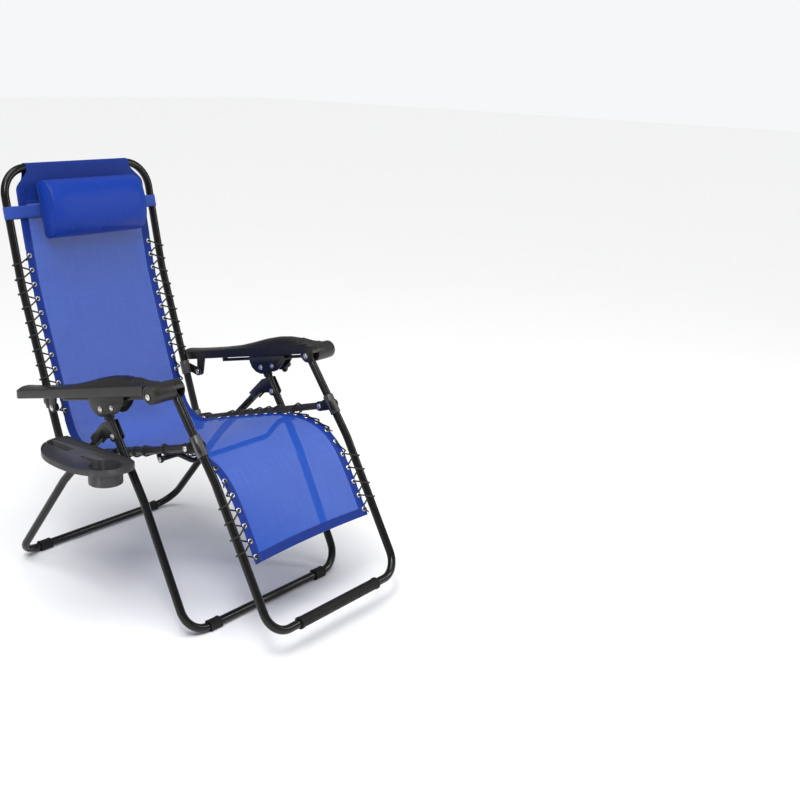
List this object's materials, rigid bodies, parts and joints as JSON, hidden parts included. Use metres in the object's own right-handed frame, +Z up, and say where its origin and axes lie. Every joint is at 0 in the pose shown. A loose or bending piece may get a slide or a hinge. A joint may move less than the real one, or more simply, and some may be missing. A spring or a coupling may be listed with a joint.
{
  "type": "zero gravity recliner",
  "caption": "Folding lounge chair on crossed tube legs, with a laced fabric sling, sliding armrests, swing-up footrest, strapped head pillow and a hook-on side tray.",
  "frame": {"origin": "centre of the bounding box over the floor, at floor height", "axes": "+X towards the feet, +Y to the sitter's left, +Z up"},
  "size_m": [1.0398, 0.7638, 1.1222],
  "materials": {
    "frame_steel": "satin black powder coat",
    "bracket_steel": "satin black powder coat",
    "bolt_steel": "zinc plated",
    "black_plastic": "moulded, fine grain",
    "foot_rubber": "matt",
    "sling_fabric": "open plastic-coated weave, royal blue",
    "elastic_cord": "black elastic cord",
    "pillow_fabric": "smooth blue cloth, padded",
    "strap_webbing": "blue elastic webbing",
    "tray_plastic": "moulded, fine grain"
  },
  "bodies": {
    "front_legs": {"front_leg_frame": "frame_steel", "front_foot_left": "foot_rubber", "front_foot_right": "foot_rubber", "leg_top_sleeve_left": "black_plastic", "leg_top_sleeve_right": "black_plastic", "leg_cross_bolt_left": "bolt_steel", "leg_cross_bolt_right": "bolt_steel", "lock_pivot_bolt_left": "bolt_steel", "lock_pivot_bolt_right": "bolt_steel"},
    "rear_legs": {"rear_leg_frame": "frame_steel", "rear_foot_left": "foot_rubber", "rear_foot_right": "foot_rubber", "leg_fork_left": "bracket_steel", "leg_fork_right": "bracket_steel"},
    "locks": {"lock_block_left": "bracket_steel", "lock_block_right": "bracket_steel", "lock_front_bolt_left": "bolt_steel", "lock_front_bolt_right": "bolt_steel"},
    "arms": {"armrest_left": "black_plastic", "armrest_right": "black_plastic", "armrest_guide_left": "bracket_steel", "armrest_guide_right": "bracket_steel", "armrest_front_bolt_left": "bolt_steel", "armrest_front_bolt_right": "bolt_steel", "armrest_rear_bolt_left": "bolt_steel", "armrest_rear_bolt_right": "bolt_steel"},
    "back": {"back_frame": "frame_steel", "sling_back": "sling_fabric", "armrest_rear_bracket_left": "bracket_steel", "armrest_rear_bracket_right": "bracket_steel", "rear_hinge_bracket_left": "bracket_steel", "rear_hinge_bracket_right": "bracket_steel", "lacing_back_left": "elastic_cord", "lacing_back_right": "elastic_cord"},
    "seat": {"seat_rail_left": "frame_steel", "seat_rail_right": "frame_steel", "seat_cross_brace": "frame_steel", "brace_bolt_left": "bolt_steel", "brace_bolt_right": "bolt_steel", "sling_seat": "sling_fabric", "lacing_seat_left": "elastic_cord", "lacing_seat_right": "elastic_cord", "seat_rear_bolt_left": "bolt_steel", "seat_rear_bolt_right": "bolt_steel", "seat_front_bolt_left": "bolt_steel", "seat_front_bolt_right": "bolt_steel"},
    "footrest": {"footrest_frame": "frame_steel", "footrest_sleeve": "foot_rubber", "front_hinge_bracket_left": "bracket_steel", "front_hinge_bracket_right": "bracket_steel", "sling_leg": "sling_fabric", "lacing_leg_left": "elastic_cord", "lacing_leg_right": "elastic_cord"},
    "knob": {"lock_knob": "black_plastic"},
    "headrest": {"pillow": "pillow_fabric", "pillow_strap": "strap_webbing"},
    "tray": {"side_tray": "tray_plastic"}
  },
  "joints": [
    {"name": "leg_fold", "type": "hinge", "parent": "front_legs", "child": "locks", "pos_m": [-0.04345, 0.0561, 0.552], "axis": [0, -1, 0], "range_deg": [0, 80]},
    {"name": "rear_leg_fold", "type": "hinge", "parent": "front_legs", "child": "rear_legs", "pos_m": [-0.0026, 0.0561, 0.4875], "axis": [0, -1, 0], "range_deg": [0, 57.61]},
    {"name": "armrest_slide", "type": "slide", "parent": "locks", "child": "arms", "axis": [-0.9759, 0, -0.2181], "range_m": [0, 0.05501]},
    {"name": "recline", "type": "hinge", "parent": "arms", "child": "back", "pos_m": [-0.29944, 0.0561, 0.492], "axis": [0, -1, 0], "range_deg": [0, 32]},
    {"name": "seat_recline", "type": "hinge", "parent": "back", "child": "seat", "pos_m": [-0.248, 0.0561, 0.358], "axis": [0, -1, 0], "range_deg": [-32.01, 0]},
    {"name": "footrest_recline", "type": "hinge", "parent": "seat", "child": "footrest", "pos_m": [0.22, 0.0561, 0.499], "axis": [0, -1, 0], "range_deg": [0, 32.01]},
    {"name": "knob_turn", "type": "hinge", "parent": "locks", "child": "knob", "pos_m": [0.002, 0.3411, 0.565], "axis": [0, -1, 0], "range_deg": [-180, 180]},
    {"name": "headrest_slide", "type": "slide", "parent": "back", "child": "headrest", "axis": [-0.2086, 0, 0.978], "range_m": [-0.06, 0.02]},
    {"name": "tray_unhook", "type": "slide", "parent": "front_legs", "child": "tray", "axis": [0, -1, 0], "range_m": [0, 0.30001]}
  ],
  "couplings": [
    {"joint": "rear_leg_fold", "follows": "leg_fold", "ratio": 0.72},
    {"joint": "armrest_slide", "follows": "recline", "m_per_rad": 0.098477},
    {"joint": "seat_recline", "follows": "recline", "ratio": -1},
    {"joint": "footrest_recline", "follows": "recline", "ratio": 1},
    {"joint": "tray_unhook", "follows": "leg_fold", "m_per_rad": 0.21486}
  ]
}
